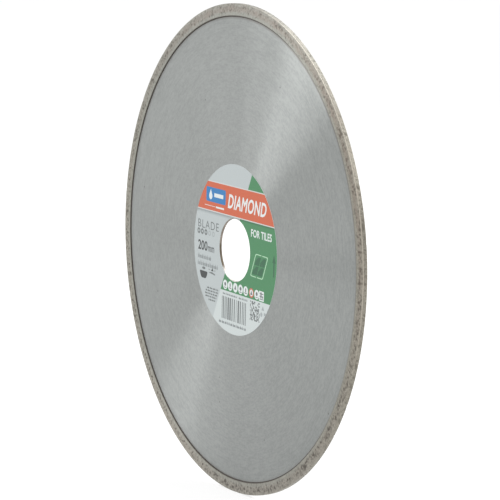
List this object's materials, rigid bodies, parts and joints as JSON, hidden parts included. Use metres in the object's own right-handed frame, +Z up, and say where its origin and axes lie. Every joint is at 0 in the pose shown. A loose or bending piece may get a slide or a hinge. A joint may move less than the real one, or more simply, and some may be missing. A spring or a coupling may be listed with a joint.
{
  "type": "diamond blade",
  "caption": "Round continuous-rim saw blade: a thin flat steel disc with a round arbor bore, a raised abrasive ring round its edge and a paper ring label on one face.",
  "frame": {"origin": "centre of the arbor bore, halfway through the steel core's thickness", "axes": "+Y along the axis of rotation, from the labelled face to the plain back face; +Z up, towards the top of the label's print; +X to the right when the labelled face is looked at"},
  "size_m": [0.2, 0.002, 0.2],
  "materials": {
    "steel": "ground in circles round the bore, satin",
    "abrasive": "sintered metal and diamond grit, matt, warm grey with dark pits",
    "label": "printed paper, satin"
  },
  "bodies": {
    "root": {"steel_core": "steel", "diamond_rim": "abrasive", "front_label": "label"}
  },
  "joints": []
}
